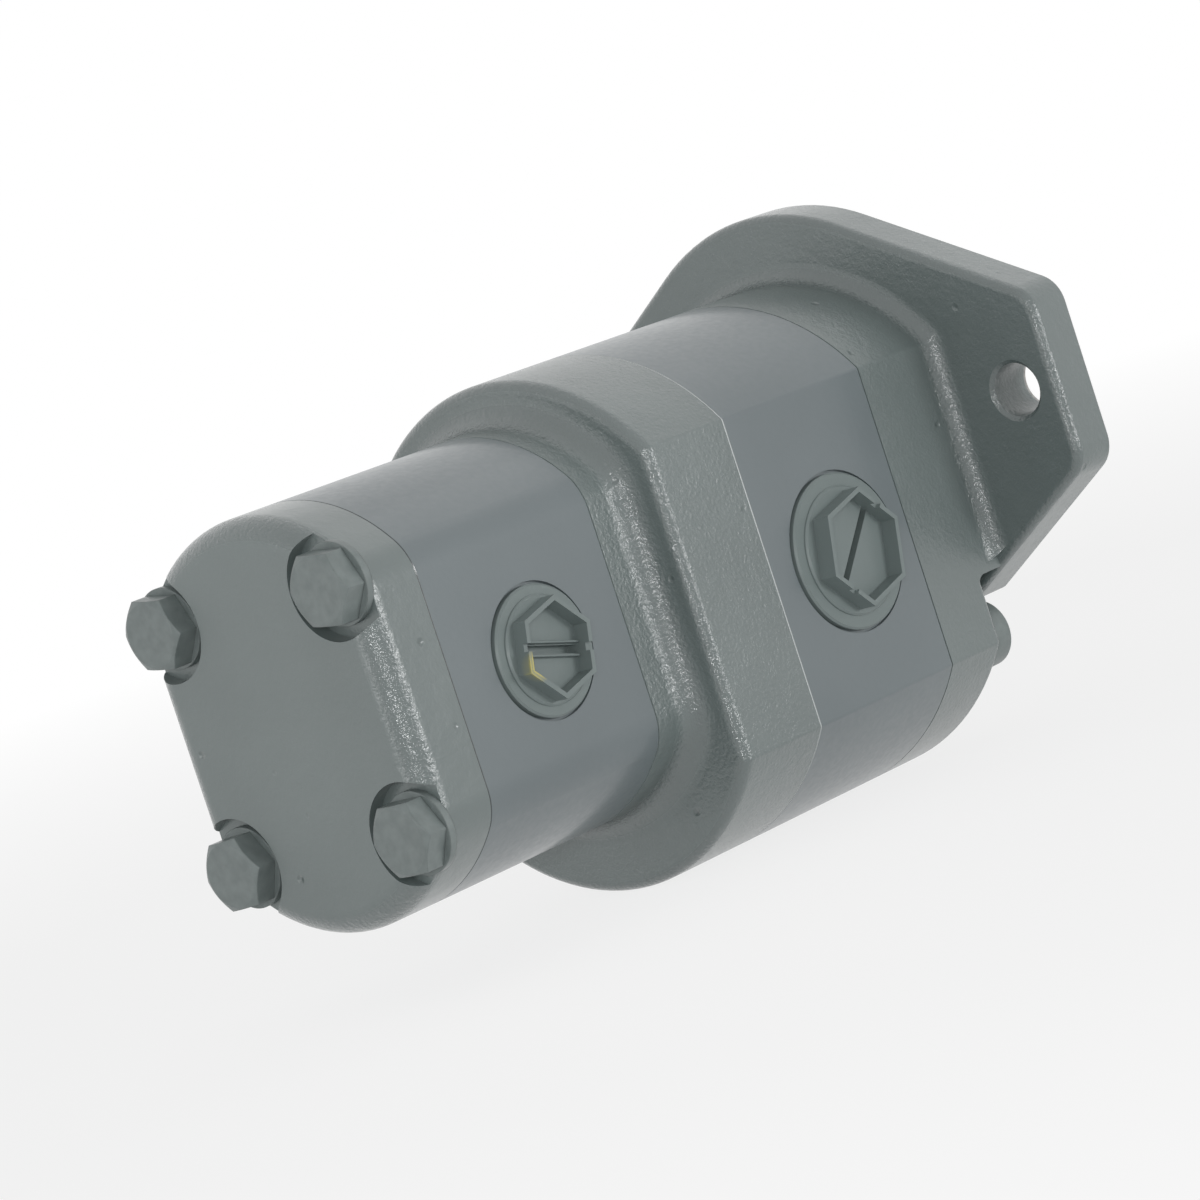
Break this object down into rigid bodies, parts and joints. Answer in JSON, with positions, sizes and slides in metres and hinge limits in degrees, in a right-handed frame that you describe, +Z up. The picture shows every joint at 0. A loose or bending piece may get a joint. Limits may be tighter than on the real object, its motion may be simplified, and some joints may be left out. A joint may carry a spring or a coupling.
{
  "type": "tandem gear pump",
  "caption": "Tandem external gear pump: grey cast sections behind a two-bolt flange with a pilot and a splined shaft, meshing gears inside and plugged side ports.",
  "frame": {"origin": "centre of the mounting face, on the axis of the drive shaft", "axes": "+X along the drive shaft, away from the pump; +Z up, from the driven gears to the drive gears; the outlet ports open towards -Y"},
  "size_m": [0.2702, 0.173, 0.1517],
  "materials": {
    "painted_casting": "grey paint over rough iron casting",
    "painted_body": "grey paint over machined iron",
    "painted_steel": "grey paint over steel",
    "black_steel": "black oxide",
    "painted_plastic": "moulded plastic with grey overspray",
    "spring_steel": "oiled",
    "seal_rubber": "moulded nitrile",
    "bearing_bronze": "bronze-backed sleeve",
    "block_aluminium": "die cast and machined",
    "ground_steel": "ground and polished"
  },
  "bodies": {
    "housing": {"adaptor_front_dowels": "spring_steel", "adaptor_plate": "painted_casting", "adaptor_rear_dowels": "spring_steel", "front_cover": "painted_casting", "front_cover_dowels": "spring_steel", "front_gear_housing": "painted_body", "front_inlet_plug": "painted_plastic", "front_outlet_plug": "painted_plastic", "front_section_balance_seals": "seal_rubber", "front_section_bushes": "bearing_bronze", "front_section_front_bearing_block": "block_aluminium", "front_section_joint_seals": "seal_rubber", "front_section_rear_bearing_block": "block_aluminium", "lower_clamp_screws": "painted_steel", "rear_bolt_washers": "painted_steel", "rear_cover": "painted_casting", "rear_cover_bolts": "painted_steel", "rear_cover_dowels": "spring_steel", "rear_gear_housing": "painted_body", "rear_inlet_plug": "painted_plastic", "rear_outlet_plug": "painted_plastic", "rear_section_balance_seals": "seal_rubber", "rear_section_bushes": "bearing_bronze", "rear_section_front_bearing_block": "block_aluminium", "rear_section_joint_seals": "seal_rubber", "rear_section_rear_bearing_block": "block_aluminium", "seal_retaining_ring": "spring_steel", "shaft_seal": "seal_rubber", "upper_clamp_screws": "black_steel"},
    "drive_train": {"drive_gear_shaft": "ground_steel", "rear_drive_gear_shaft": "ground_steel", "shaft_coupling": "ground_steel"},
    "front_driven": {"front_driven_gear": "ground_steel"},
    "rear_driven": {"rear_driven_gear": "ground_steel"}
  },
  "joints": [
    {"name": "drive_spin", "type": "hinge", "parent": "housing", "child": "drive_train", "pos_m": [0, 0, 0], "axis": [1, 0, 0], "continuous": true},
    {"name": "front_driven_spin", "type": "hinge", "parent": "housing", "child": "front_driven", "pos_m": [-0.0733, 0, -0.0432], "axis": [1, 0, 0], "continuous": true},
    {"name": "rear_driven_spin", "type": "hinge", "parent": "housing", "child": "rear_driven", "pos_m": [-0.17495, 0, -0.0342], "axis": [1, 0, 0], "continuous": true}
  ],
  "couplings": [
    {"joint": "front_driven_spin", "follows": "drive_spin", "ratio": -1},
    {"joint": "rear_driven_spin", "follows": "drive_spin", "ratio": -1}
  ]
}
